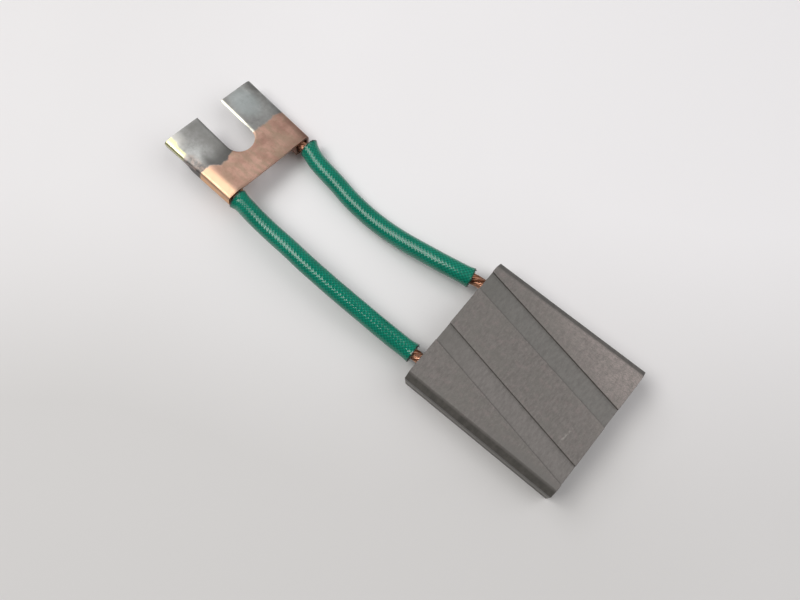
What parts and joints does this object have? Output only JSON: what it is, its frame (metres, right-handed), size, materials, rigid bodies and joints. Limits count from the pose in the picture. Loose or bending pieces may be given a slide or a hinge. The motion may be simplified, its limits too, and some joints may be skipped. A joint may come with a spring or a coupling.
{
  "type": "carbon brush",
  "caption": "Flat graphite motor brush with slanting dust grooves, braided-sleeve copper leads and an open fork terminal folded from copper sheet.",
  "frame": {"origin": "centre of the block's plain back face, on which the brush lies", "axes": "+X along the block from its lead face to its wear face, +Y across the leads, +Z out of the grooved face"},
  "size_m": [0.1128, 0.032, 0.0093],
  "materials": {
    "graphite": "pressed and ground graphite, fine cross grain, dull with a slight sheen",
    "tamping_powder": "rammed copper and graphite powder, dull",
    "bare_copper": "fine stranded copper wire, slightly dulled",
    "varnished_braid": "glossy green varnished glass braid, frayed at its ends",
    "tinned_copper": "mottled copper sheet, the tines dipped in grey tin to an uneven line",
    "solder": "dull grey tin-lead solder"
  },
  "bodies": {
    "root": {"carbon_block": "graphite", "tamping_left": "tamping_powder", "tamping_right": "tamping_powder", "lead_left": "bare_copper", "lead_right": "bare_copper", "sleeve_left": "varnished_braid", "sleeve_right": "varnished_braid", "fork_terminal": "tinned_copper", "solder_left": "solder", "solder_right": "solder"}
  },
  "joints": []
}
